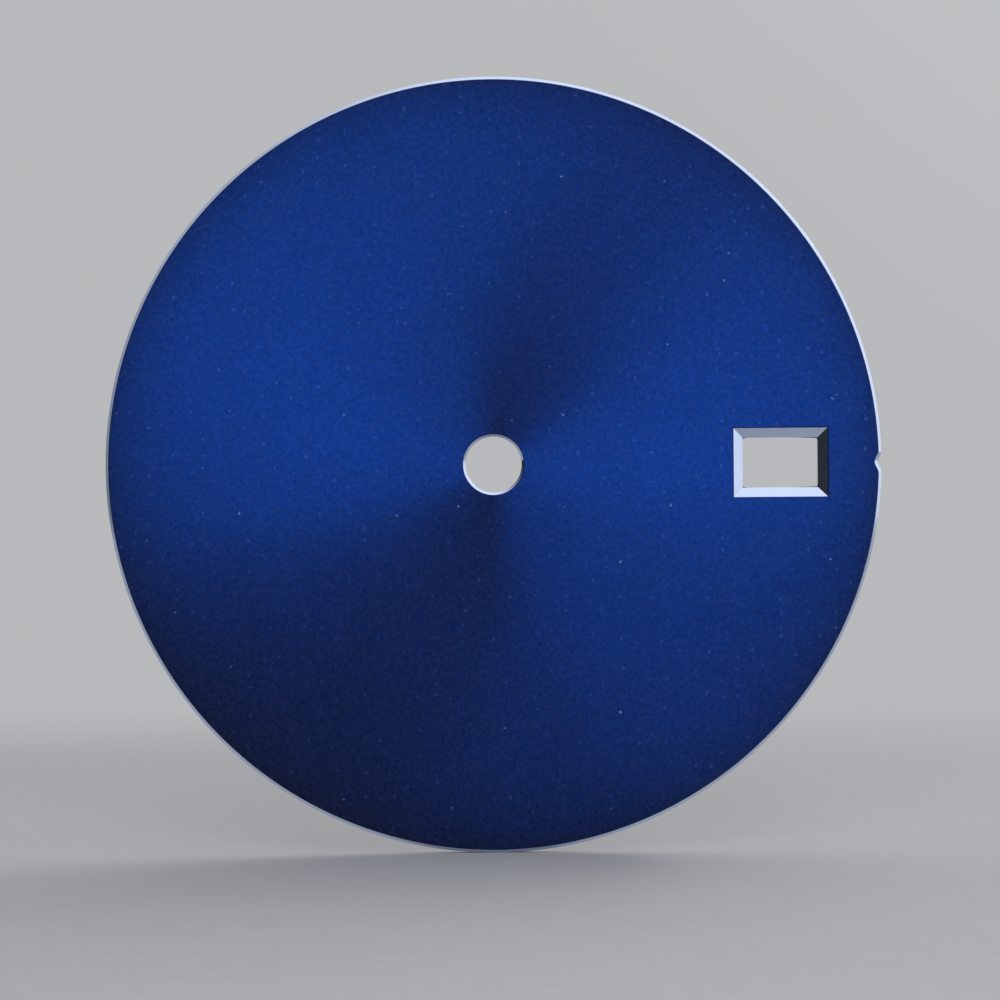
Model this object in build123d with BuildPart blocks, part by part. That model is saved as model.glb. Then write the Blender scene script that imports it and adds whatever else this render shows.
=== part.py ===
from build123d import *
import os
from math import cos, radians, sin, tan

# A bare sunburst watch dial. The viewer looks at its face along +Y, with 12 o'clock up at +Z
# and the date window at 3 o'clock, at +X. The origin is on the hand hole's axis, in the flat
# back that seats on the movement, so the face is at negative Y and the feet are at positive Y.
# Lengths are millimetres. Angles are degrees, counter-clockwise from 3 o'clock.

# Blank: the punched metal disc and the lacquer on its face
dial_diameter = 28.5
plate_thickness = 0.42
lacquer_thickness = 0.03
rim_chamfer = 0.14
back_edge_chamfer = 0.04

# Hand hole, where the movement's arbors come through
hand_hole_diameter = 2.06
hand_hole_chamfer_width = 0.12
hand_hole_chamfer_depth = 0.1

# Date window: a punched opening in a milled recess with four mitred facets. Like the feet, its
# centre is set in from the rim
window_rim_distance = 3.71
window_width = 2.76
window_height = 1.84
window_corner_radius = 0.1
facet_width = 0.385
facet_depth = 0.28

# Shallow notch in the rim at 3 o'clock, by which the dial is turned to its place
notch_depth = 0.17
notch_flank_lean = 27
notch_root_radius = 0.16
notch_mouth_radius = 0.42

# Feet: pins on the back that drop into holes in the movement
foot_diameter = 0.75
foot_length = 1.45
foot_tip_chamfer = 0.12
foot_rim_distance = 1.6
foot_angles = {"upper": 62, "lower": 238}

# Solder: it fills a shallow recess round each foot and climbs a little way up the pin, so that
# nothing but the feet stands proud of the back outside the recess
solder_recess_depth = 0.12
solder_width = 0.2
solder_sink = 0.02
solder_rise = 0.12
solder_top_width = 0.03

# Each cut runs this far past the faces that it opens
overrun = 0.5

dial_radius = dial_diameter / 2
dial_thickness = plate_thickness + lacquer_thickness
hand_hole_radius = hand_hole_diameter / 2
window_centre_distance = dial_radius - window_rim_distance
foot_radius = foot_diameter / 2
foot_centre_distance = dial_radius - foot_rim_distance
solder_recess_radius = foot_radius + solder_width

# Planes that face the viewer: the seat at the back, the plate's front and the lacquer's front
seat_plane = Plane.XZ
plate_front_plane = seat_plane.offset(plate_thickness)
face_plane = seat_plane.offset(dial_thickness)

os.makedirs("parts", exist_ok=True)

# The blank is machined through metal and lacquer together, and parted between them afterwards
with BuildPart() as dial_blank:
    with BuildSketch(seat_plane) as outline:
        Circle(dial_radius)
        with BuildLine():
            notch_reach = (notch_depth + overrun) / tan(radians(notch_flank_lean))
            notch_root = (dial_radius - notch_depth, 0)
            notch_above = (dial_radius + overrun, notch_reach)
            notch_below = (dial_radius + overrun, -notch_reach)
            Polyline(notch_root, notch_above, notch_below, close=True)
        make_face(mode=Mode.SUBTRACT)
        fillet(outline.vertices().sort_by(Axis.X)[0], notch_root_radius)
        notch_corners = outline.vertices().sort_by(Axis.Y)
        fillet([notch_corners[0], notch_corners[-1]], notch_mouth_radius)
    extrude(amount=dial_thickness)

    with Locations(face_plane):
        Hole(hand_hole_radius)

    front = dial_blank.faces().sort_by(Axis.Y)[0]
    chamfer(front.outer_wire().edges(), rim_chamfer)
    front = dial_blank.faces().sort_by(Axis.Y)[0]
    chamfer(
        front.inner_wires()[0].edges(),
        length=hand_hole_chamfer_width,
        length2=hand_hole_chamfer_depth,
        reference=front,
    )
    back = dial_blank.faces().sort_by(Axis.Y)[-1]
    chamfer(back.outer_wire().edges(), back_edge_chamfer)

    # The recess narrows from the face down to the opening, one facet on each side
    with BuildSketch(face_plane):
        with Locations((window_centre_distance, 0)):
            Rectangle(window_width + 2 * facet_width, window_height + 2 * facet_width)
    with BuildSketch(face_plane.offset(-facet_depth)):
        with Locations((window_centre_distance, 0)):
            Rectangle(window_width, window_height)
    loft(mode=Mode.SUBTRACT)

    with BuildSketch(seat_plane.offset(-overrun)):
        with Locations((window_centre_distance, 0)):
            RectangleRounded(window_width, window_height, window_corner_radius)
    extrude(amount=dial_thickness + 2 * overrun, mode=Mode.SUBTRACT)

# Where each foot stands, as a point of the seat plane seen from the front
foot_places = {
    name: (
        foot_centre_distance * cos(radians(angle)),
        foot_centre_distance * sin(radians(angle)),
    )
    for name, angle in foot_angles.items()
}

# Dial plate: the metal below the lacquer, with a blind recess in its back for each foot
with BuildPart() as dial_plate:
    add(dial_blank.part)
    split(bisect_by=plate_front_plane, keep=Keep.BOTTOM)
    with BuildSketch(seat_plane):
        with Locations(*foot_places.values()):
            Circle(solder_recess_radius)
    extrude(amount=solder_recess_depth, mode=Mode.SUBTRACT)

dial_plate.part.label = "dial_plate"
export_step(dial_plate.part, "parts/dial_plate.step")

# Blue lacquer: the coat on the face, cut back with the metal at the rim, hole and window
with BuildPart() as blue_lacquer:
    add(dial_blank.part)
    split(bisect_by=plate_front_plane, keep=Keep.TOP)

blue_lacquer.part.label = "blue_lacquer"
export_step(blue_lacquer.part, "parts/blue_lacquer.step")

for name, (foot_x, foot_z) in foot_places.items():
    # Foot: a pin from the floor of its recess to its chamfered tip
    pin_base = Plane(
        origin=(foot_x, -solder_recess_depth, foot_z), x_dir=(1, 0, 0), z_dir=(0, 1, 0)
    )
    with BuildPart() as foot:
        with BuildSketch(pin_base):
            Circle(foot_radius)
        extrude(amount=solder_recess_depth + foot_length)
        chamfer(foot.faces().sort_by(Axis.Y)[-1].edges(), foot_tip_chamfer)

    foot.part.label = f"foot_{name}"
    export_step(foot.part, f"parts/foot_{name}.step")

    # Solder: a ring turned about the foot's axis, hollow-topped between the recess and the pin
    ring_section = Plane(origin=(foot_x, 0, foot_z), x_dir=(1, 0, 0), z_dir=(0, 0, 1))
    solder_edge = (solder_recess_radius, -solder_sink)
    solder_crest = (foot_radius + solder_top_width, solder_rise)
    with BuildPart() as foot_solder:
        with BuildSketch(ring_section):
            with BuildLine():
                Polyline(
                    solder_crest,
                    (foot_radius, solder_rise),
                    (foot_radius, -solder_recess_depth),
                    (solder_recess_radius, -solder_recess_depth),
                    solder_edge,
                )
                TangentArc(solder_edge, solder_crest, tangent=(-1, 0))
            make_face()
        revolve(axis=Axis((foot_x, 0, foot_z), (0, 1, 0)))

    foot_solder.part.label = f"foot_solder_{name}"
    export_step(foot_solder.part, f"parts/foot_solder_{name}.step")
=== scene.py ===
import math

import bpy
import numpy as np
from mathutils import Matrix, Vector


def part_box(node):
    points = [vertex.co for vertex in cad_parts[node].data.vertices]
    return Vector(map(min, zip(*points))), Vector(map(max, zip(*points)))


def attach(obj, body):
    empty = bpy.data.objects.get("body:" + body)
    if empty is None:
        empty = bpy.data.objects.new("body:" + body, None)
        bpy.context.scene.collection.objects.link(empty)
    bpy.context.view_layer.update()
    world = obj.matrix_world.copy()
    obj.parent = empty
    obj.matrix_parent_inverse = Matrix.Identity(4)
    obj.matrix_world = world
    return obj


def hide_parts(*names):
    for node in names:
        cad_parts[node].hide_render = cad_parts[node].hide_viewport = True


# A bare watch dial: a blue lacquered sunburst face on a thin silvered brass plate, with a hand
# hole, a date window with bright cut facets, a rim notch and two soldered feet on its back.
# The viewer looks along +Y, 12 o'clock is at +Z and 3 o'clock at +X. Shapes are worked out in
# millimetres and written to the meshes in metres. Angles run counter-clockwise from 3 o'clock.

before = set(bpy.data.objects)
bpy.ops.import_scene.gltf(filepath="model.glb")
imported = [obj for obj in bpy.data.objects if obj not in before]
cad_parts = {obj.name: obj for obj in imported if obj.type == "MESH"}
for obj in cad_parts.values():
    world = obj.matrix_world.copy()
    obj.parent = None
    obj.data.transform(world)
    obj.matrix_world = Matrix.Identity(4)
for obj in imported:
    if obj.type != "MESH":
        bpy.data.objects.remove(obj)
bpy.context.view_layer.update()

METRES = 0.001

# Levels, along Y
FACE = -0.45
PLATE_FRONT = -0.42
WINDOW_FLOOR = -0.17
BACK = 0.0

# Blank
DIAL_RADIUS = 14.25
RIM_CHAMFER = 0.14
BACK_CHAMFER = 0.04
LACQUER = PLATE_FRONT - FACE
HOLE_RADIUS = 1.03
HOLE_CHAMFER_WIDTH = 0.12
HOLE_CHAMFER_DEPTH = 0.1
HOLE_MOUTH = HOLE_RADIUS + HOLE_CHAMFER_WIDTH
HOLE_AT_PLATE = HOLE_MOUTH - HOLE_CHAMFER_WIDTH * LACQUER / HOLE_CHAMFER_DEPTH
EDGE_ROUND = 0.012

# Rim notch
NOTCH_DEPTH = 0.17
NOTCH_LEAN = math.radians(27)
NOTCH_ROOT = 0.16
NOTCH_MOUTH = 0.42

# Date window: half sizes of the opening, and how far its facets reach beyond it at the face
WINDOW_X = 10.54
WINDOW_HALF = np.array([1.38, 0.92])
WINDOW_CORNER = 0.1
FACET_WIDTH = 0.385

# Feet and the solder round them. The solder's crest swings up and down by about SOLDER_SWING
FOOT_RADIUS = 0.375
FOOT_TOP = 1.45
FOOT_CHAMFER = 0.12
FOOT_TIP_ROUNDS = (0.02, 0.03)
RECESS_RADIUS = 0.575
RECESS_FLOOR = -0.12
SOLDER_SINK = 0.02
SOLDER_RISE = 0.12
SOLDER_TOP_WIDTH = 0.03
SOLDER_SWING = 0.022
SOLDER_SEED = 7

# How finely the surfaces are divided. The step between spokes is in degrees
SPOKE_STEP = 0.75
FOOT_ARC_SPOKES = 25
NOTCH_ARC_POINTS = 9
BAND_ROWS = 5
WALL_ROWS = 2
EDGE_STEPS = 4
TURN_STEPS = 72
SOLDER_ARC_POINTS = 13

# An uncut spoke's two runs meet at this radius
MIDDLE_RADIUS = 8.8

# Angles and points that agree to this many decimals are one, and less than HAIR is nothing
ANGLE_DIGITS = 12
WELD_DIGITS = 7
HAIR = 1e-6

POLAR_MAP = "polar"


def centre_of(node):
    """The middle of a CAD node's box seen from the front, in millimetres."""
    low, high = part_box(node)
    return np.array([(low.x + high.x) / 2, (low.z + high.z) / 2]) / METRES


feet = {name: centre_of("foot_" + name) for name in ("upper", "lower")}


# Surfaces


class Skin:
    """The closed skin of one piece, gathered grid by grid. A grid is rows by columns of points,
    with an outward normal and a place on the polar map for each point. Points of neighbouring
    grids that fall together are welded, and a face whose corners fall together is dropped."""

    def __init__(self):
        self.points, self.normals, self.places, self.faces, self.finishes = [], [], [], [], []
        self.count = 0

    def grid(self, points, normals, places, finish=0):
        """Two triangles to each cell of the grid, turned the way of the normals."""
        points, normals, places = (
            np.broadcast_to(a, points.shape[:2] + (a.shape[-1],)) for a in (points, normals, places)
        )
        rows, columns = points.shape[:2]
        index = np.arange(rows * columns).reshape(rows, columns)
        a, b, c, d = index[:-1, :-1], index[:-1, 1:], index[1:, 1:], index[1:, :-1]
        faces = np.concatenate(
            [np.stack([a, b, c], -1).reshape(-1, 3), np.stack([a, c, d], -1).reshape(-1, 3)]
        )
        flat_points, flat_normals = points.reshape(-1, 3), normals.reshape(-1, 3)
        p, q, r = (flat_points[faces[:, k]] for k in range(3))
        if np.sum(np.cross(q - p, r - p) * flat_normals[faces[:, 0]]) < 0:
            faces = faces[:, ::-1]
        self.points.append(flat_points)
        self.normals.append(flat_normals)
        self.places.append(places.reshape(-1, 2))
        self.faces.append(faces + self.count)
        self.finishes.append(np.full(len(faces), finish))
        self.count += rows * columns

    def piece(self, name, finishes, node):
        """Writes the skin as one object that stands for a CAD node and rides on the dial."""
        points, normals, places, faces, worn = (
            np.concatenate(part)
            for part in (self.points, self.normals, self.places, self.faces, self.finishes)
        )
        welded, where = np.unique(np.round(points, WELD_DIGITS), axis=0, return_inverse=True)
        corners = where.reshape(-1)[faces]
        whole = (
            (corners[:, 0] != corners[:, 1])
            & (corners[:, 1] != corners[:, 2])
            & (corners[:, 2] != corners[:, 0])
        )
        corners, faces, worn = corners[whole], faces[whole], worn[whole]
        mesh = bpy.data.meshes.new(name)
        mesh.from_pydata((welded * METRES).tolist(), [], corners.tolist())
        mesh.polygons.foreach_set("material_index", worn.astype(np.int32))
        mesh.polygons.foreach_set("use_smooth", np.ones(len(worn), bool))
        polar = mesh.uv_layers.new(name=POLAR_MAP)
        polar.data.foreach_set("uv", places[faces.reshape(-1)].astype(np.float32).reshape(-1))
        mesh.normals_split_custom_set(normals[faces.reshape(-1)].tolist())
        for finish in finishes:
            mesh.materials.append(finish)
        made = bpy.data.objects.new(name, mesh)
        bpy.context.scene.collection.objects.link(made)
        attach(made, "root")
        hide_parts(node)


def at_level(plan, level):
    """Points of a plan (X, Z) set at a level along Y."""
    plan = np.asarray(plan, float)
    level = np.broadcast_to(level, plan.shape[:-1])
    return np.stack([plan[..., 0], level, plan[..., 1]], -1)


def unit(vectors):
    return vectors / np.linalg.norm(vectors, axis=-1, keepdims=True)


def directions(angle):
    """Unit vectors (cosine, sine) of an array of angles."""
    return np.stack([np.cos(angle), np.sin(angle)], -1)


def polar_places(points, spokes):
    """The polar map: the angle as a share of a turn, kept near each spoke's own so that the map
    has no seam but the one at 9 o'clock, and the distance from the centre as a share of the
    dial's radius."""
    turn = np.arctan2(points[..., 2], points[..., 0]) - spokes
    turn = (turn + math.pi) % (2 * math.pi) - math.pi
    radius = np.hypot(points[..., 0], points[..., 2])
    return np.stack([(spokes + turn + math.pi) / (2 * math.pi), radius / DIAL_RADIUS], -1)


def between(start, end, rows):
    """Rows of points that run straight from one line of points to another."""
    share = np.linspace(0, 1, rows + 1)[:, None, None]
    return start[None] * (1 - share) + end[None] * share


def profile(corners, radii):
    """A broken line in (outward, Y) whose corners are rounded: at each corner an arc of the given
    radius, tangent to both of its runs, found from half the angle between them. Returns its
    points and their normals, to the left of the way along it, with the normal given twice where
    a corner stays sharp."""
    corners = np.asarray(corners, float)
    runs = unit(np.diff(corners, axis=0))
    left = np.stack([-runs[:, 1], runs[:, 0]], -1)
    points, normals = [corners[0]], [left[0]]
    for k, radius in enumerate(radii, 1):
        before, after = runs[k - 1], runs[k]
        turn = math.atan2(before[0] * after[1] - before[1] * after[0], before @ after)
        if radius == 0:
            points += [corners[k], corners[k]]
            normals += [left[k - 1], left[k]]
            continue
        start = corners[k] - before * radius * abs(math.tan(turn / 2))
        centre = start + left[k - 1] * radius * math.copysign(1, turn)
        for share in np.linspace(0, 1, EDGE_STEPS + 1):
            c, s = math.cos(turn * share), math.sin(turn * share)
            normal = np.array([[c, -s], [s, c]]) @ left[k - 1]
            points.append(centre - normal * radius * math.copysign(1, turn))
            normals.append(normal)
    points.append(corners[-1])
    normals.append(left[-1])
    return np.array(points), np.array(normals)


# The dial's plan: a line of points round the rim, each joined to the hand hole by a spoke


def arc(centre, radius, start, end, count):
    """Points of an arc and the directions in which they lie from its centre."""
    way = directions(np.linspace(start, end, count))
    return np.asarray(centre) + radius * way, way


def notch_half():
    """The notch from its root to its upper mouth: half the root arc, whose centre is outside the
    dial, the straight flank, and the mouth arc, tangent to the flank and to the rim from inside.
    Returns points, outward normals and the angle at which the mouth meets the rim."""
    along = np.array([math.sin(NOTCH_LEAN), math.cos(NOTCH_LEAN)])
    out = np.array([math.cos(NOTCH_LEAN), -math.sin(NOTCH_LEAN)])
    apex = np.array([DIAL_RADIUS - NOTCH_DEPTH, 0.0])
    root_centre = apex + [NOTCH_ROOT / math.cos(NOTCH_LEAN), 0]
    root, root_out = arc(
        root_centre, NOTCH_ROOT, math.pi, math.pi - NOTCH_LEAN, NOTCH_ARC_POINTS
    )
    inside = apex - out * NOTCH_MOUTH
    reach = inside @ along
    slide = -reach + math.sqrt(reach**2 - inside @ inside + (DIAL_RADIUS - NOTCH_MOUTH) ** 2)
    mouth_centre = inside + slide * along
    meets = math.atan2(mouth_centre[1], mouth_centre[0])
    mouth, mouth_out = arc(mouth_centre, NOTCH_MOUTH, -NOTCH_LEAN, meets, 2 * NOTCH_ARC_POINTS)
    return np.concatenate([root, mouth]), np.concatenate([-root_out, mouth_out]), meets


def foot_spokes(foot):
    """Angles of the spokes that cross a foot's recess. They are spread as the sine, so that they
    cut its circle into nearly even lengths, and the first and last only touch it."""
    middle = math.atan2(foot[1], foot[0])
    widest = math.asin(RECESS_RADIUS / np.hypot(*foot))
    return middle + widest * np.sin(np.linspace(-math.pi / 2, math.pi / 2, FOOT_ARC_SPOKES))


window_half = {
    FACE: WINDOW_HALF + FACET_WIDTH,
    PLATE_FRONT: (
        WINDOW_HALF + FACET_WIDTH * (WINDOW_FLOOR - PLATE_FRONT) / (WINDOW_FLOOR - FACE)
    ),
    WINDOW_FLOOR: WINDOW_HALF,
    BACK: WINDOW_HALF,
}
near_x, far_x = WINDOW_X - window_half[FACE][0], WINDOW_X + window_half[FACE][0]
near_corner = math.atan2(window_half[FACE][1], near_x)
far_corner = math.atan2(window_half[FACE][1], far_x)


def rim_plan():
    """Points round the rim from 9 o'clock to 9 o'clock by way of 6, 3 and 12, with their outward
    normals and polar angles. Apart from the notch they lie on the circle, at even steps and at
    each angle that a corner of the window or the edge of a foot's recess needs."""
    half, half_out, meets = notch_half()
    wanted = [np.radians(np.arange(-180, 180.1, SPOKE_STEP))]
    wanted += [np.array([-near_corner, -far_corner, far_corner, near_corner])]
    wanted += [foot_spokes(foot) for foot in feet.values()]
    angle = np.unique(np.round(np.concatenate(wanted), ANGLE_DIGITS))
    angle = angle[np.abs(angle) > meets + HAIR]
    circle = directions(angle)
    low = angle < 0
    mirror = np.array([1, -1])
    points = np.concatenate(
        [DIAL_RADIUS * circle[low], half[::-1] * mirror, half[1:], DIAL_RADIUS * circle[~low]]
    )
    normals = np.concatenate([circle[low], half_out[::-1] * mirror, half_out[1:], circle[~low]])
    spokes = np.arctan2(points[:, 1], points[:, 0])
    spokes[0], spokes[-1] = -math.pi, math.pi
    points[0] = points[-1] = (-DIAL_RADIUS, 0)
    normals[0] = normals[-1] = (-1, 0)
    return points, normals, spokes


rim, rim_out, spokes = rim_plan()
spoke_way = directions(spokes)
spoke_way[0] = spoke_way[-1] = (-1, 0)


def spoke_at(angle):
    """The number of the spoke at an angle."""
    return int(np.argmin(np.abs(spokes - angle)))


def hole_plan(radius):
    return radius * spoke_way


def rim_inset(inset):
    """The rim's line moved in along its normals."""
    return rim - rim_out * inset


window_from, window_to = spoke_at(-near_corner), spoke_at(near_corner)
side_from, side_to = spoke_at(-far_corner), spoke_at(far_corner)


def window_places():
    """Where the window's spokes enter and leave it, on a square from -1 to 1. They enter by its
    near side, and leave by the lower side, the far side and the upper side in turn."""
    slope = np.tan(spokes[window_from : window_to + 1])
    enter = np.stack([np.full_like(slope, -1), slope / math.tan(near_corner)], -1)
    enter[0, 1], enter[-1, 1] = -1, 1
    with np.errstate(divide="ignore"):
        across = (window_half[FACE][1] / np.abs(slope) - WINDOW_X) / window_half[FACE][0]
    leave = np.stack([np.clip(across, -1, 1), np.sign(slope)], -1)
    far = slice(side_from - window_from, side_to - window_from + 1)
    leave[far] = np.stack(
        [np.ones(side_to - side_from + 1), slope[far] / math.tan(far_corner)], -1
    )
    leave[0], leave[-1] = (-1, -1), (-1, 1)
    leave[far][0], leave[far][-1] = (1, -1), (1, 1)
    return enter, leave


window_enter, window_leave = window_places()


def window_plan(places, half):
    """Places on the square taken to a rectangle round the window's centre."""
    return np.array([WINDOW_X, 0]) + places * half


def window_rounded(places, half):
    """The same with rounded corners: a place within a corner radius of a corner moves onto its
    arc, an eighth of a turn being shared out over each side's last radius. Also returns the
    direction from each point into the opening."""
    plan = places * half
    inner = half - WINDOW_CORNER
    into = np.clip((np.abs(plan) - inner) / WINDOW_CORNER, 0, 1)
    corner = (into > 0).all(-1)
    turned = directions(math.pi / 4 * (into[:, 1] + 1 - into[:, 0]))
    sign = np.sign(plan)
    rounded = np.where(corner[:, None], sign * (inner + WINDOW_CORNER * turned), plan)
    on_side = np.abs(places) > 1 - HAIR
    inward = np.where(corner[:, None], -sign * turned, -sign * on_side)
    return np.array([WINDOW_X, 0]) + rounded, unit(inward)


def circle_crossing(foot, radius):
    """Where a foot's spokes enter and leave a circle round it: the distance along a spoke is the
    centre's own along it, less or more half the chord."""
    first, last = (spoke_at(angle) for angle in foot_spokes(foot)[[0, -1]])
    way = spoke_way[first : last + 1]
    along = way @ foot
    chord = np.sqrt(np.maximum(radius**2 - (foot @ foot - along**2), 0))
    chord[0] = chord[-1] = 0
    return first, last, way * (along - chord)[:, None], way * (along + chord)[:, None]


def window_cut(level, rounded=False):
    """The window as a cut of a flat face."""
    half = window_half[level]
    near, far = (
        window_rounded(places, half)[0] if rounded else window_plan(places, half)
        for places in (window_enter, window_leave)
    )
    return window_from, window_to, near, far


def flat(skin, level, facing, hole_radius, rim_line, cuts, finish=0):
    """A flat face at a level, from the hand hole to the rim. Each spoke is two straight runs with
    a gap between them where the spoke crosses a cut, and no gap elsewhere."""
    enter, leave = hole_plan(MIDDLE_RADIUS), hole_plan(MIDDLE_RADIUS)
    for first, last, near, far in cuts:
        enter[first : last + 1], leave[first : last + 1] = near, far
    for start, end in ((hole_plan(hole_radius), enter), (leave, rim_line)):
        points = at_level(between(start, end, BAND_ROWS), level)
        skin.grid(points, np.array([[[0, facing, 0]]]), polar_places(points, spokes), finish)


def sweep(skin, points, normals, finish):
    """A band round the axis: the polar map's angle goes along it and its height across it."""
    places = polar_places(points, spokes)
    places[..., 1] += points[..., 1] / DIAL_RADIUS
    skin.grid(points, normals, places, finish)


def rim_band(skin, corners, radii, finish=0):
    """A profile in (inset, Y) carried along the rim's line. The inset runs against the line's
    outward normals."""
    line, line_normals = profile(corners, radii)
    points = at_level(rim[None] - rim_out[None] * line[:, :1, None], line[:, 1:])
    normals = at_level(-rim_out[None] * line_normals[:, :1, None], line_normals[:, 1:])
    sweep(skin, points, normals, finish)


def hole_band(skin, corners, radii, finish=0):
    """A profile in (radius, Y) turned about the hand hole's axis."""
    line, line_normals = profile(corners, radii)
    points = at_level(spoke_way[None] * line[:, :1, None], line[:, 1:])
    normals = at_level(spoke_way[None] * line_normals[:, :1, None], line_normals[:, 1:])
    sweep(skin, points, normals, finish)


def window_sides():
    """The window's four sides as (places on the square, direction that the facet leans)."""
    low, high = side_from - window_from, side_to - window_from
    return (
        (window_enter, (1, 0)),
        (window_leave[: low + 1], (0, 1)),
        (window_leave[low : high + 1], (-1, 0)),
        (window_leave[high:], (0, -1)),
    )


def window_facets(skin, top, bottom, finish=0):
    """The four facets between two levels, each a flat strip that leans into the opening."""
    lean = np.array([WINDOW_FLOOR - FACE, FACET_WIDTH])
    lean = lean / np.hypot(*lean)
    for places, way in window_sides():
        ends = [at_level(window_plan(places, window_half[y]), y) for y in (top, bottom)]
        points = between(*ends, WALL_ROWS)
        normal = np.array([way[0] * lean[0], -lean[1], way[1] * lean[0]])
        along = points @ np.array([way[1], 0, way[0]], float)
        across = points[..., 1]
        skin.grid(points, normal[None, None], np.stack([along, across], -1) / DIAL_RADIUS, finish)


# Pieces of the dial


def dial_plate(finishes):
    """The brass plate: back, rim, hand hole, window walls and facets, and the feet's recesses.
    Its finishes are those of the bright cuts, of the plated faces and of the punched walls."""
    bright, plated, punched = 0, 1, 2
    skin = Skin()
    crossings = [circle_crossing(foot, RECESS_RADIUS) for foot in feet.values()]
    flat(
        skin, BACK, 1, HOLE_RADIUS, rim_inset(BACK_CHAMFER),
        [window_cut(BACK, rounded=True)] + crossings, plated,
    )
    flat(
        skin, PLATE_FRONT, -1, HOLE_AT_PLATE,
        rim_inset(RIM_CHAMFER - LACQUER), [window_cut(PLATE_FRONT)], plated,
    )
    rim_profile = [
        (RIM_CHAMFER - LACQUER, PLATE_FRONT),
        (0, FACE + RIM_CHAMFER),
        (0, BACK - BACK_CHAMFER),
        (BACK_CHAMFER, BACK),
    ]
    hole_profile = [
        (HOLE_AT_PLATE, PLATE_FRONT),
        (HOLE_RADIUS, FACE + HOLE_CHAMFER_DEPTH),
        (HOLE_RADIUS, BACK),
    ]
    rim_band(skin, rim_profile, [EDGE_ROUND, EDGE_ROUND], bright)
    hole_band(skin, hole_profile, [EDGE_ROUND], bright)
    window_facets(skin, PLATE_FRONT, WINDOW_FLOOR, bright)
    for places in (window_enter, window_leave):
        sharp = at_level(window_plan(places, window_half[WINDOW_FLOOR]), WINDOW_FLOOR)
        plan, inward = window_rounded(places, window_half[BACK])
        land = at_level(plan, WINDOW_FLOOR)
        ledge = between(sharp, land, 1)
        skin.grid(ledge, np.array([[[0, -1, 0]]]), ledge[..., ::2] / DIAL_RADIUS, bright)
        wall = between(land, at_level(plan, BACK), WALL_ROWS)
        length = np.concatenate([[0], np.cumsum(np.linalg.norm(np.diff(plan, axis=0), axis=1))])
        wall_places = np.stack(np.broadcast_arrays(length[None], wall[..., 1]), -1)
        skin.grid(wall, at_level(inward, 0)[None], wall_places / DIAL_RADIUS, punched)
    for foot, (first, last, near, far) in zip(feet.values(), crossings):
        crossing = spokes[first : last + 1]
        floor = at_level(between(near, far, WALL_ROWS), RECESS_FLOOR)
        skin.grid(floor, np.array([[[0, 1, 0]]]), polar_places(floor, crossing), punched)
        for edge in (near, far):
            wall = between(at_level(edge, BACK), at_level(edge, RECESS_FLOOR), WALL_ROWS)
            inward = at_level(unit(foot - edge), 0)[None]
            skin.grid(wall, inward, polar_places(wall, crossing), punched)
    skin.piece("plate_of_brass", finishes, "dial_plate")


def blue_lacquer(finish):
    """The lacquer coat: a flat front and back and the narrow sloping edges between them."""
    skin = Skin()
    flat(skin, FACE, -1, HOLE_MOUTH, rim_inset(RIM_CHAMFER), [window_cut(FACE)])
    flat(
        skin, PLATE_FRONT, 1, HOLE_AT_PLATE,
        rim_inset(RIM_CHAMFER - LACQUER), [window_cut(PLATE_FRONT)],
    )
    rim_band(skin, [(RIM_CHAMFER, FACE), (RIM_CHAMFER - LACQUER, PLATE_FRONT)], [])
    hole_band(skin, [(HOLE_MOUTH, FACE), (HOLE_AT_PLATE, PLATE_FRONT)], [])
    window_facets(skin, FACE, PLATE_FRONT)
    skin.piece("lacquer_coat", [finish], "blue_lacquer")


def lathe(skin, centre, line, line_normals, lift=None):
    """A profile in (radius, Y) turned about a foot's axis. lift(turn, level) may raise it."""
    turn = np.linspace(0, 2 * math.pi, TURN_STEPS + 1)
    way = directions(turn)
    way[-1] = way[0]
    radius, level = line[:, :1], line[:, 1:]
    if lift is not None:
        level = level + lift(np.append(turn[:-1], 0), level)
    points = at_level(centre + way[None] * radius[..., None], level)
    normals = at_level(way[None] * line_normals[:, :1, None], line_normals[:, 1:])
    places = np.stack(np.broadcast_arrays(turn[None] / (2 * math.pi), line[:, 1:]), -1)
    skin.grid(points, normals, places)


def foot_pin(name, foot, finish):
    """A foot: a drawn pin with a turned chamfer at its tip."""
    skin = Skin()
    outline = [
        (0, FOOT_TOP),
        (FOOT_RADIUS - FOOT_CHAMFER, FOOT_TOP),
        (FOOT_RADIUS, FOOT_TOP - FOOT_CHAMFER),
        (FOOT_RADIUS, RECESS_FLOOR),
        (0, RECESS_FLOOR),
    ]
    lathe(skin, foot, *profile(outline, [*FOOT_TIP_ROUNDS, 0]))
    skin.piece(f"foot_pin_{name}", [finish], f"foot_{name}")


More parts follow.
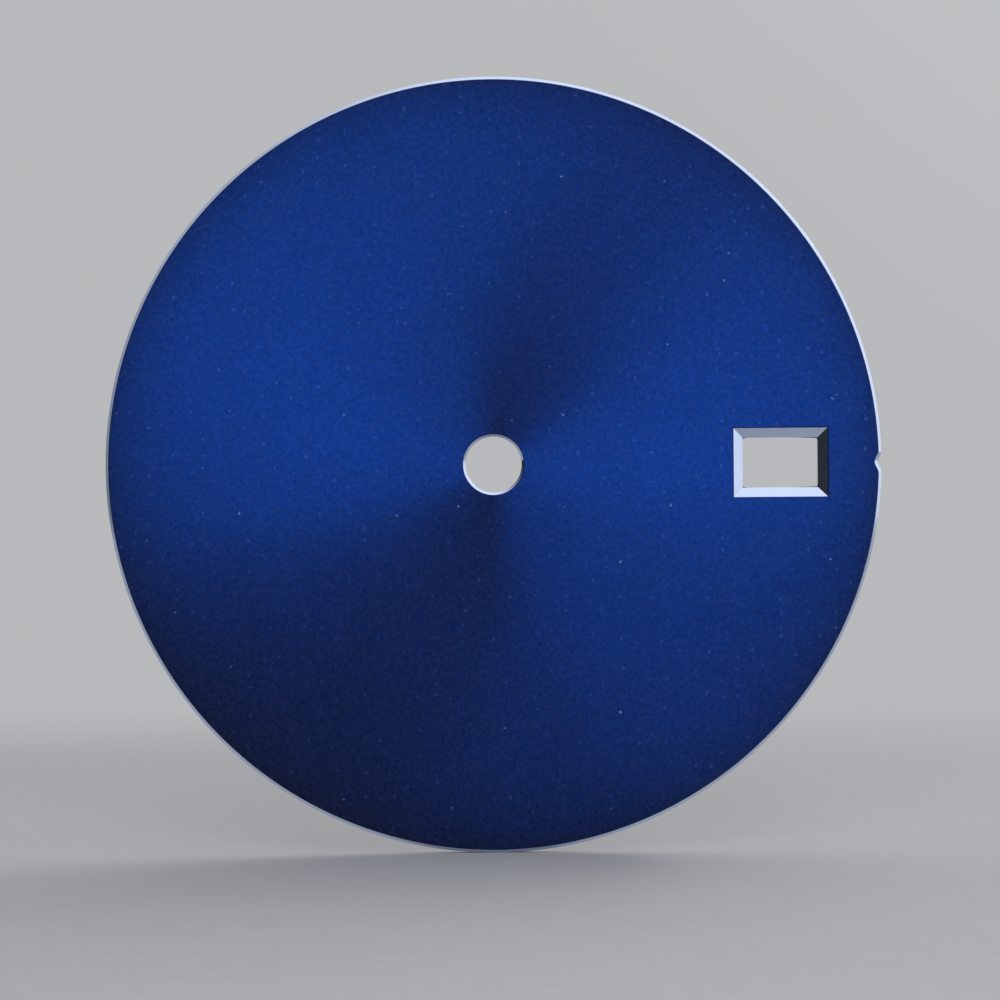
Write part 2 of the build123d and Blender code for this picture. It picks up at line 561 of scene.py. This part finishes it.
def solder_ring(name, foot, finish, seed):
    """A ring of solder: a hollow fillet from the recess's wall to the pin, whose crest rises and
    falls round the pin as the solder froze. The surface between them follows a quarter arc."""
    random = np.random.default_rng(seed)
    swing, phase = random.uniform(0.3, 1, 4), random.uniform(0, 2 * math.pi, 4)
    rise = SOLDER_RISE + SOLDER_SINK

    def lift(turn, level):
        """Four sine waves round the pin, full at the crest and gone at the recess's edge."""
        wave = sum(s * np.sin(k * turn + p) / k for k, (s, p) in enumerate(zip(swing, phase), 1))
        return SOLDER_SWING * np.clip((level + SOLDER_SINK) / rise, 0, 1) * wave

    quarter = np.linspace(0, math.pi / 2, SOLDER_ARC_POINTS)
    crest = FOOT_RADIUS + SOLDER_TOP_WIDTH
    run = RECESS_RADIUS - crest
    hollow = np.stack(
        [RECESS_RADIUS - run * np.sin(quarter), -SOLDER_SINK + rise * (1 - np.cos(quarter))], -1
    )
    hollow_normals = unit(np.stack([rise * np.sin(quarter), run * np.cos(quarter)], -1))
    skin = Skin()
    lathe(skin, foot, hollow, hollow_normals, lift)
    ring = [
        (crest, SOLDER_RISE),
        (FOOT_RADIUS, SOLDER_RISE),
        (FOOT_RADIUS, RECESS_FLOOR),
        (RECESS_RADIUS, RECESS_FLOOR),
        (RECESS_RADIUS, -SOLDER_SINK),
    ]
    line, normals = profile(ring, [0, 0, 0])
    lathe(skin, foot, line, -normals, lift)
    skin.piece(f"solder_ring_{name}", [finish], f"foot_solder_{name}")


# Materials. Patterns are read in millimetres, so the scale of a noise is per millimetre


class Recipe:
    """Shorthand for writing a node tree. Apart from add, each method that makes a node gives its
    output. Values are numbers, tuples or the outputs of other nodes."""

    def __init__(self, tree):
        self.tree = tree
        tree.nodes.clear()

    def add(self, kind, inputs=(), **settings):
        """A node with its settings made, and its inputs set or linked."""
        made = self.tree.nodes.new(kind)
        for name, value in settings.items():
            setattr(made, name, value)
        for name, value in dict(inputs).items():
            self.feed(made.inputs[name], value)
        return made

    def feed(self, socket, value):
        if isinstance(value, bpy.types.NodeSocket):
            self.tree.links.new(value, socket)
        else:
            socket.default_value = value

    def math(self, operation, *values, clamp=False):
        made = self.add("ShaderNodeMath", operation=operation, use_clamp=clamp)
        for socket, value in zip(made.inputs, values):
            self.feed(socket, value)
        return made.outputs[0]

    def total(self, first, *more, clamp=False):
        """A sum, added up in turn."""
        for value in more:
            first = self.math("ADD", first, value, clamp=clamp)
        return first

    def weighted(self, base, *terms, clamp=False):
        """A base plus each value times its weight, the terms being (value, weight)."""
        products = [self.math("MULTIPLY", value, weight) for value, weight in terms]
        return self.total(base, *products, clamp=clamp)

    def ramp(self, value, low, high, to_low=0.0, to_high=1.0):
        """A smooth step of a value from one range to another."""
        return self.add(
            "ShaderNodeMapRange",
            {
                "Value": value, "From Min": low, "From Max": high,
                "To Min": to_low, "To Max": to_high,
            },
            interpolation_type="SMOOTHSTEP",
        ).outputs["Result"]

    def vector(self, operation, *values):
        made = self.add("ShaderNodeVectorMath", operation=operation)
        for socket, value in zip(made.inputs, values):
            self.feed(socket, value)
        a_number = operation in ("LENGTH", "DOT_PRODUCT")
        return made.outputs["Value" if a_number else "Vector"]

    def flattened(self, place):
        """A place moved along Y onto the back, so that its length is the distance from the axis."""
        return self.vector("MULTIPLY", place, (1, 0, 1))

    def scaled(self, place, scale):
        return self.add("ShaderNodeMapping", {"Vector": place, "Scale": scale}).outputs["Vector"]

    def millimetres(self):
        """The object's own coordinates in millimetres."""
        place = self.add("ShaderNodeTexCoord").outputs["Object"]
        return self.scaled(place, (1 / METRES,) * 3)

    def parts(self, vector):
        return self.add("ShaderNodeSeparateXYZ", {"Vector": vector}).outputs

    def joined(self, x, y, z=0.0):
        return self.add("ShaderNodeCombineXYZ", {"X": x, "Y": y, "Z": z}).outputs["Vector"]

    def noise(self, vector, scale, detail=2.0, roughness=0.5, out="Fac", **inputs):
        given = {"Vector": vector, "Scale": scale, "Detail": detail, "Roughness": roughness}
        made = self.add("ShaderNodeTexNoise", given | inputs, noise_dimensions="3D")
        return made.outputs[out]

    def shaken(self, place, scale, reach):
        """A place moved by a smooth noise, up to half the reach each way."""
        shift = self.noise(place, scale, 1.0, out="Color")
        shift = self.vector("SUBTRACT", shift, (0.5, 0.5, 0.5))
        return self.vector("ADD", place, self.vector("MULTIPLY", shift, (reach,) * 3))

    def cells(self, x, y, scale):
        """A flat Voronoi pattern: the distance from the nearest cell's point, and two random
        values of that cell."""
        made = self.add(
            "ShaderNodeTexVoronoi",
            {"Vector": self.joined(x, y), "Scale": scale, "Randomness": 1.0},
            voronoi_dimensions="2D",
            feature="F1",
        ).outputs
        chance = self.add("ShaderNodeSeparateColor", {"Color": made["Color"]}).outputs
        return made["Distance"], chance["Red"], chance["Green"]

    def mix(self, share, first, second):
        made = self.add("ShaderNodeMix", {"Factor": share}, data_type="RGBA")
        colours = [socket for socket in made.inputs if socket.type == "RGBA"]
        for socket, value in zip(colours, (first, second)):
            self.feed(socket, value)
        return next(socket for socket in made.outputs if socket.type == "RGBA")

    def group(self, tree, **inputs):
        return self.add("ShaderNodeGroup", inputs, node_tree=tree).outputs[0]


def colour(r, g, b):
    return (r, g, b, 1.0)


def effect(name, output, **numbers):
    """A new node group with an input Position, an input for each named number and one output.
    Returns its recipe, what it is given, and the socket that its result goes to."""
    tree = bpy.data.node_groups.new(name, "ShaderNodeTree")
    recipe = Recipe(tree)
    tree.interface.new_socket("Position", in_out="INPUT", socket_type="NodeSocketVector")
    for label, value in numbers.items():
        socket = tree.interface.new_socket(label, in_out="INPUT", socket_type="NodeSocketFloat")
        socket.default_value = value
    tree.interface.new_socket(output, in_out="OUTPUT", socket_type="NodeSocketFloat")
    given = tree.nodes.new("NodeGroupInput").outputs
    return recipe, given, tree.nodes.new("NodeGroupOutput").inputs[output]


def make_sunburst():
    """Radial grain. The noise is read on a cone, (cosine, sine) of the angle times Fineness and
    the radius over Length, so that each streak points at the centre and none has a seam."""
    recipe, given, result = effect("sunburst_grain", "Streaks", Fineness=250.0, Length=3.0)
    flat_place = recipe.flattened(given["Position"])
    around = recipe.parts(recipe.vector("NORMALIZE", flat_place))
    cone = recipe.joined(
        recipe.math("MULTIPLY", around["X"], given["Fineness"]),
        recipe.math("MULTIPLY", around["Z"], given["Fineness"]),
        recipe.math("DIVIDE", recipe.vector("LENGTH", flat_place), given["Length"]),
    )
    recipe.feed(result, recipe.noise(cone, 1.0, 3.0, 0.6))
    return recipe.tree


def make_turned():
    """Turned grain: noise read on the distance from the dial's axis, with a slow change round
    it, so that every line is part of a circle."""
    recipe, given, result = effect("turned_grain", "Lines", Lines=20.0)
    flat_place = recipe.flattened(given["Position"])
    around = recipe.parts(recipe.vector("NORMALIZE", flat_place))
    outward = recipe.math("MULTIPLY", recipe.vector("LENGTH", flat_place), given["Lines"])
    cone = recipe.joined(around["X"], around["Z"], outward)
    recipe.feed(result, recipe.noise(cone, 1.0, 3.0, 0.6))
    return recipe.tree


def make_dust():
    """Specks on a face across Y: the cells of a flat Voronoi pattern whose random value is above
    a limit each hold one, of a size that grows with that value and a strength that is another.
    A fine noise moves the pattern, so that no speck is round."""
    recipe, given, result = effect("dust", "Specks", Cells=1.0, Share=0.2, Size=0.05)
    place = recipe.parts(recipe.shaken(given["Position"], 9.0, 0.16))
    distance, chance, other = recipe.cells(place["X"], place["Z"], given["Cells"])
    limit = recipe.math("SUBTRACT", 1.0, given["Share"])
    grown = recipe.math("DIVIDE", recipe.math("SUBTRACT", chance, limit), given["Share"])
    grown = recipe.math("MULTIPLY", recipe.weighted(0.3, (grown, 0.7)), given["Size"])
    size = recipe.math("MULTIPLY", grown, given["Cells"])
    mask = recipe.math("SUBTRACT", 1.0, recipe.math("DIVIDE", distance, size), clamp=True)
    present = recipe.math("GREATER_THAN", chance, limit)
    strength = recipe.math("MULTIPLY", present, recipe.ramp(other, 0.0, 1.0, 0.25, 1.0))
    recipe.feed(result, recipe.math("MULTIPLY", strength, recipe.ramp(mask, 0.0, 0.5)))
    return recipe.tree


def make_hairlines():
    """Fine scratches: specks of a flat Voronoi pattern whose cells are stretched along one
    direction, about 2.2 mm long and 0.11 mm wide, and bent by a broad noise."""
    recipe, given, result = effect("hairlines", "Hairs", Angle=0.0, Share=0.1)
    turned_place = recipe.add(
        "ShaderNodeVectorRotate",
        {
            "Vector": recipe.shaken(given["Position"], 0.8, 0.5),
            "Axis": (0.0, 1.0, 0.0),
            "Angle": given["Angle"],
        },
        rotation_type="AXIS_ANGLE",
    ).outputs["Vector"]
    place = recipe.parts(turned_place)
    along = recipe.math("MULTIPLY", place["X"], 0.45)
    across = recipe.math("MULTIPLY", place["Z"], 9.0)
    distance, chance, _ = recipe.cells(along, across, 1.0)
    present = recipe.math("LESS_THAN", chance, given["Share"])
    line = recipe.ramp(distance, 0.10, 0.24, 1.0, 0.0)
    recipe.feed(result, recipe.math("MULTIPLY", present, line))
    return recipe.tree


sunburst, turned = make_sunburst(), make_turned()
dust, hairlines = make_dust(), make_hairlines()


def new_material(name):
    made = bpy.data.materials.new(name)
    made.use_nodes = True
    recipe = Recipe(made.node_tree)
    shader = recipe.add("ShaderNodeBsdfPrincipled")
    recipe.add("ShaderNodeOutputMaterial", {"Surface": shader.outputs["BSDF"]})
    return made, recipe, shader


def set_shader(recipe, shader, **values):
    """Sets or links the shader's sockets, named with underscores for spaces."""
    for name, value in values.items():
        recipe.feed(shader.inputs[name.replace("_", " ")], value)


def along_the_turn(recipe):
    """The direction round the dial's axis, from the polar map."""
    return recipe.add("ShaderNodeTangent", direction_type="UV_MAP", uv_map=POLAR_MAP).outputs[0]


def bump(recipe, height, distance, strength, normal=None):
    """A normal moved by a height. The distance is in millimetres."""
    inputs = {"Height": height, "Distance": distance * METRES, "Strength": strength}
    if normal is not None:
        inputs["Normal"] = normal
    return recipe.add("ShaderNodeBump", inputs).outputs["Normal"]


def scratches(recipe, place, *sets):
    """The stronger of two sets of hairlines, each (angle, share of the cells)."""
    hairs = [recipe.group(hairlines, Position=place, Angle=a, Share=share) for a, share in sets]
    return recipe.math("MAXIMUM", *hairs)


def thin_wisps(recipe, place):
    """Faint lines in the lacquer: those on which a bent noise is one half, shown only where a
    second noise is high. The places are moved so that no two patterns agree."""
    bent = recipe.noise(recipe.vector("ADD", place, (2.0, 9.0, 4.0)), 4.0, 1.5, Distortion=0.7)
    patches = recipe.noise(recipe.vector("ADD", place, (11.0, 3.0, 5.0)), 1.9)
    from_line = recipe.math("ABSOLUTE", recipe.math("SUBTRACT", bent, 0.5))
    return recipe.math(
        "MULTIPLY", recipe.ramp(from_line, 0, 0.04, 1, 0), recipe.ramp(patches, 0.55, 0.68)
    )


# Painted shade by radius, darker at the hole and at the rim, as (share of the radius, brightness)
SHADE_RADIUS = 14.2
SHADE_BY_RADIUS = ((0.0, 0.79), (0.42, 1.0), (0.7, 0.953), (0.88, 0.80), (1.0, 0.40))


def radial_painted_shade(recipe, place):
    """Painted shade by radius: the face is brightest part way out, darker at the hole and much
    darker at the rim.
    """
    radius = recipe.vector("LENGTH", recipe.flattened(place))
    outward = recipe.math("DIVIDE", radius, SHADE_RADIUS)
    shade_curve = recipe.add("ShaderNodeFloatCurve", {"Value": outward})
    curve = shade_curve.mapping.curves[0]
    curve.points[0].location, curve.points[1].location = SHADE_BY_RADIUS[0], SHADE_BY_RADIUS[-1]
    for share, value in SHADE_BY_RADIUS[1:-1]:
        curve.points.new(share, value)
    shade_curve.mapping.update()
    return shade_curve.outputs[0]


def lacquer_material():
    """Translucent blue over radial brushing: a metal shader stretched round the axis, under a
    satin coat that a haze makes uneven. A fine mottle, short strokes and wisps vary its tone,
    painted shade darkens it at the hole and rim, and dust, motes and a few hairlines lie on it."""
    made, recipe, shader = new_material("blue_sunburst_lacquer")
    place = recipe.millimetres()
    fine = recipe.group(sunburst, Position=place, Fineness=260.0, Length=2.2)
    strokes = recipe.group(sunburst, Position=place, Fineness=95.0, Length=0.42)
    mottle = recipe.noise(place, 6.4, 3.0, 0.58, Distortion=0.7)
    haze = recipe.noise(recipe.vector("ADD", place, (31.0, 7.0, 17.0)), 7.0, 2.0, 0.6)
    cloud = recipe.noise(place, 0.5, 3.0)
    specks = recipe.group(dust, Position=place, Cells=1.9, Share=0.5, Size=0.08)
    mote_place = recipe.vector("ADD", place, (5.3, 0.0, 3.1))
    motes = recipe.group(dust, Position=mote_place, Cells=0.5, Share=0.3, Size=0.068)
    hairs = scratches(recipe, place, (0.55, 0.003), (2.1, 0.002))
    level = recipe.total(
        1.0,
        recipe.ramp(mottle, 0.36, 0.80, -0.06, 0.24),
        recipe.ramp(strokes, 0.3, 0.7, -0.05, 0.05),
        recipe.ramp(fine, 0.3, 0.7, -0.03, 0.03),
        recipe.ramp(cloud, 0.3, 0.7, -0.03, 0.03),
        recipe.math("MULTIPLY", thin_wisps(recipe, place), 0.34),
    )
    # Painted shade by radius: the face is made darker at the hole and much darker at the rim
    level = recipe.math("MULTIPLY", level, radial_painted_shade(recipe, place))
    blue = recipe.add(
        "ShaderNodeVectorMath",
        {"Vector": (0.0009, 0.040, 0.285), "Scale": level},
        operation="SCALE",
    ).outputs["Vector"]
    faint = recipe.total(
        recipe.math("MULTIPLY", specks, 0.3), recipe.math("MULTIPLY", hairs, 0.12)
    )
    base = recipe.mix(faint, blue, colour(0.035, 0.14, 0.62))
    normal = bump(recipe, fine, 0.0010, 0.3)
    set_shader(
        recipe, shader,
        Base_Color=recipe.mix(motes, base, colour(0.10, 0.24, 0.68)),
        Metallic=recipe.weighted(1.0, (motes, -0.85), (faint, -0.7), clamp=True),
        Roughness=recipe.weighted(0.416, (fine, 0.05)),
        Anisotropic=1.0, Tangent=along_the_turn(recipe),
        Coat_Weight=recipe.ramp(haze, 0.3, 0.7, 0.27, 0.66),
        Coat_Roughness=0.8, Coat_IOR=1.5,
        Normal=bump(recipe, motes, 0.012, 1.0, normal),
    )
    return made


def bright_cut_material():
    """Silver-white metal as the cutter left it: nearly a mirror, with fine lines round the axis."""
    made, recipe, shader = new_material("bright_cut_silver")
    place = recipe.millimetres()
    lines = recipe.group(turned, Position=place, Lines=60.0)
    cloud = recipe.noise(place, 1.3)
    set_shader(
        recipe, shader,
        Base_Color=recipe.mix(cloud, colour(0.66, 0.76, 0.99), colour(0.60, 0.70, 0.94)),
        Metallic=1.0,
        Roughness=recipe.weighted(0.05, (lines, 0.08)),
        Normal=bump(recipe, lines, 0.0002, 0.4),
    )
    return made


def plated_back_material():
    """Silver plate over a turned back: fine and broad turning lines, a few handling scratches,
    and a faint yellow tarnish that is strongest towards the rim."""
    made, recipe, shader = new_material("silver_plated_back")
    place = recipe.millimetres()
    fine = recipe.group(turned, Position=place, Lines=26.0)
    broad = recipe.group(turned, Position=place, Lines=3.0)
    tarnish = recipe.math(
        "MULTIPLY",
        recipe.ramp(recipe.noise(place, 0.34, 5.0, 0.62), 0.46, 0.78),
        recipe.ramp(recipe.vector("LENGTH", recipe.flattened(place)), 7.0, 14.0, 0.3, 1.0),
    )
    hairs = scratches(recipe, place, (0.9, 0.012), (2.6, 0.008))
    base = recipe.mix(
        recipe.ramp(fine, 0.28, 0.72), colour(0.70, 0.695, 0.68), colour(0.87, 0.865, 0.85)
    )
    base = recipe.mix(recipe.ramp(broad, 0.35, 0.65, 0.0, 0.18), base, colour(0.66, 0.65, 0.62))
    base = recipe.mix(recipe.math("MULTIPLY", tarnish, 0.4), base, colour(0.68, 0.57, 0.38))
    base = recipe.mix(recipe.math("MULTIPLY", hairs, 0.45), base, colour(0.93, 0.93, 0.92))
    normal = bump(recipe, fine, 0.003, 0.6)
    set_shader(
        recipe, shader,
        Base_Color=base, Metallic=1.0,
        Roughness=recipe.weighted(0.2, (broad, 0.16), (tarnish, 0.12), (hairs, -0.08)),
        Anisotropic=0.75, Anisotropic_Rotation=0.25, Tangent=along_the_turn(recipe),
        Normal=bump(recipe, hairs, -0.002, 0.6, normal),
    )
    return made


def punched_edge_material():
    """The sheared and milled walls: duller metal with marks across the thickness."""
    made, recipe, shader = new_material("punched_edge")
    marks = recipe.noise(recipe.scaled(recipe.millimetres(), (9, 1.2, 9)), 1.0, 3.0)
    set_shader(
        recipe, shader,
        Base_Color=recipe.mix(marks, colour(0.42, 0.40, 0.36), colour(0.66, 0.64, 0.60)),
        Metallic=1.0,
        Roughness=recipe.weighted(0.3, (marks, 0.2)),
        Normal=bump(recipe, marks, 0.006, 0.6),
    )
    return made


def copper_material():
    """Drawn copper wire, a little dulled."""
    made, recipe, shader = new_material("drawn_copper")
    place = recipe.millimetres()
    drawn = recipe.noise(recipe.scaled(place, (22, 1.5, 22)), 1.0, 3.0)
    dull = recipe.ramp(recipe.noise(place, 2.4, 3.0), 0.42, 0.68)
    base = recipe.mix(drawn, colour(0.62, 0.32, 0.19), colour(0.82, 0.47, 0.31))
    set_shader(
        recipe, shader,
        Base_Color=recipe.mix(recipe.math("MULTIPLY", dull, 0.5), base, colour(0.36, 0.20, 0.13)),
        Metallic=1.0,
        Roughness=recipe.weighted(0.22, (drawn, 0.14), (dull, 0.16)),
        Normal=bump(recipe, drawn, 0.006, 0.7),
    )
    return made


def solder_material():
    """Silver solder as it froze: softly lumpy, with a brown trace of flux in places."""
    made, recipe, shader = new_material("silver_solder_flowed")
    place = recipe.millimetres()
    lumps = recipe.noise(place, 5.0, 3.0)
    fine = recipe.noise(place, 30.0)
    flux = recipe.ramp(recipe.noise(place, 3.1), 0.5, 0.7)
    base = recipe.mix(fine, colour(0.52, 0.52, 0.53), colour(0.72, 0.72, 0.73))
    normal = bump(recipe, lumps, 0.03, 0.6)
    set_shader(
        recipe, shader,
        Base_Color=recipe.mix(recipe.math("MULTIPLY", flux, 0.35), base, colour(0.30, 0.22, 0.13)),
        Metallic=1.0,
        Roughness=recipe.weighted(0.3, (fine, 0.2)),
        Normal=bump(recipe, fine, 0.004, 0.5, normal),
    )
    return made


dial_plate([bright_cut_material(), plated_back_material(), punched_edge_material()])
blue_lacquer(lacquer_material())
copper, solder = copper_material(), solder_material()
for seed, (name, foot) in enumerate(feet.items(), SOLDER_SEED):
    foot_pin(name, foot, copper)
    solder_ring(name, foot, solder, seed)


# Studio: the camera, the floor, the lamps and the world

# CENTRE_AT is where the dial's centre lies in the view, right and up of the middle
CAMERA_DISTANCE = 110.0
FRAME_WIDTH = 36.68
SENSOR = 36.0
ROLL = math.radians(-0.45)
CENTRE_AT = (-0.238, 1.302)
CLIP = (0.001, 10.0)

# The floor thins out between two distances from a point ahead of the dial
FLOOR_HALF = 400.0
FLOOR_AHEAD = 60.0
FLOOR_FADE = (94.0, 145.0)

# The world's dim and bright sides, each with the angles at which it begins and is full. The glow
# stays off the directions in front of the dial, whose share along Y is under the lower limit
DIM_SIDE = (-0.38, -0.88, -0.28)
DIM_ANGLES = (93, 56)
GLOW_SIDE = (0.64, 0.0, 0.77)
GLOW_ANGLES = (85, 30)
GLOW_LIMITS = (-0.52, -0.30)

# How far each lamp stands from the dial's centre
LAMP_DISTANCE = 220.0


def make_camera():
    """Looks along +Y at the face, turned a little about its line of sight."""
    data = bpy.data.cameras.new("camera")
    data.sensor_width = SENSOR
    data.lens = SENSOR * CAMERA_DISTANCE / FRAME_WIDTH
    data.clip_start, data.clip_end = CLIP
    camera = bpy.data.objects.new("camera", data)
    right = np.array([math.cos(ROLL), math.sin(ROLL)])
    up = np.array([-math.sin(ROLL), math.cos(ROLL)])
    x, z = -(CENTRE_AT[0] * right + CENTRE_AT[1] * up)
    camera.location = (x * METRES, (FACE - CAMERA_DISTANCE) * METRES, z * METRES)
    camera.rotation_euler = (math.pi / 2, -ROLL, 0)
    bpy.context.scene.collection.objects.link(camera)
    bpy.context.scene.camera = camera


def make_floor():
    """A flat pale floor under the dial that thins out to nothing with the distance, so that it
    has no edge and the world shows beyond it."""
    corner = FLOOR_HALF * METRES * np.array([[-1, -1], [1, -1], [1, 1], [-1, 1]])
    level = np.full((4, 1), -DIAL_RADIUS * METRES)
    mesh = bpy.data.meshes.new("floor")
    mesh.from_pydata(np.hstack([corner, level]).tolist(), [], [(0, 1, 2, 3)])
    floor = bpy.data.objects.new("floor", mesh)
    bpy.context.scene.collection.objects.link(floor)
    material, recipe, shader = new_material("pale_floor")
    place = recipe.millimetres()
    grain = recipe.noise(place, 1.2, 4.0)
    ahead = recipe.vector("ADD", recipe.vector("MULTIPLY", place, (1, 1, 0)), (0, FLOOR_AHEAD, 0))
    set_shader(
        recipe, shader,
        Base_Color=recipe.mix(grain, colour(0.40, 0.405, 0.415), colour(0.44, 0.445, 0.455)),
        Roughness=0.85, Specular_IOR_Level=0.2,
        Alpha=recipe.ramp(recipe.vector("LENGTH", ahead), *FLOOR_FADE, 1.0, 0.0),
    )
    mesh.materials.append(material)


def make_world():
    """Soft pale studio all round, dimmer on the side of the camera and to its left, with a glow
    above the dial's right."""
    world = bpy.data.worlds.new("studio")
    world.use_nodes = True
    recipe = Recipe(world.node_tree)
    way = recipe.add("ShaderNodeTexCoord").outputs["Generated"]

    def side(middle, angles):
        """How far a direction lies into one side of the world."""
        limits = [math.cos(math.radians(angle)) for angle in angles]
        return recipe.ramp(recipe.vector("DOT_PRODUCT", way, middle), *limits)

    shade = recipe.mix(
        side(DIM_SIDE, DIM_ANGLES), colour(0.48, 0.485, 0.50), colour(0.03, 0.032, 0.036)
    )
    behind = recipe.ramp(recipe.parts(way)["Y"], *GLOW_LIMITS)
    glow = recipe.math("MULTIPLY", side(GLOW_SIDE, GLOW_ANGLES), behind)
    shade = recipe.mix(glow, shade, colour(1.02, 1.03, 1.05))
    background = recipe.add("ShaderNodeBackground", {"Color": shade, "Strength": 1.0})
    recipe.add("ShaderNodeOutputWorld", {"Surface": background.outputs[0]})
    bpy.context.scene.world = world


def softbox(name, azimuth, lean, size, radiance):
    """A flat lamp that looks at the dial's centre. The azimuth is that of the side it stands on,
    in the dial's plane, and the lean is measured from the face's normal. Its size is across the
    azimuth and along the lean. Its power is its radiance times pi and its area."""
    side, tilt = math.radians(azimuth), math.radians(lean)
    outward = np.array([math.cos(side), 0, math.sin(side)])
    way = math.sin(tilt) * outward - math.cos(tilt) * np.array([0, 1, 0])
    across = np.array([-math.sin(side), 0, math.cos(side)])
    data = bpy.data.lights.new(name, "AREA")
    data.shape, data.size, data.size_y = "RECTANGLE", size[0] * METRES, size[1] * METRES
    data.energy = radiance * math.pi * data.size * data.size_y
    lamp = bpy.data.objects.new(name, data)
    turn = np.identity(4)
    turn[:3, :3] = np.stack([across, np.cross(way, across), way], -1)
    turn[:3, 3] = way * LAMP_DISTANCE * METRES
    lamp.matrix_world = Matrix(turn)
    lamp.visible_camera = False
    bpy.context.scene.collection.objects.link(lamp)


make_camera()
make_floor()
make_world()
softbox("key_softbox", azimuth=94.9, lean=28.7, size=(119, 193), radiance=1.88)
softbox("window_softbox", azimuth=56, lean=32.8, size=(220, 165), radiance=0.68)
softbox("right_softbox", azimuth=38.1, lean=27.7, size=(137, 27), radiance=2.73)
softbox("rear_softbox", azimuth=40, lean=127, size=(60, 150), radiance=3.8)

view = bpy.context.scene.view_settings
view.view_transform = "Standard"
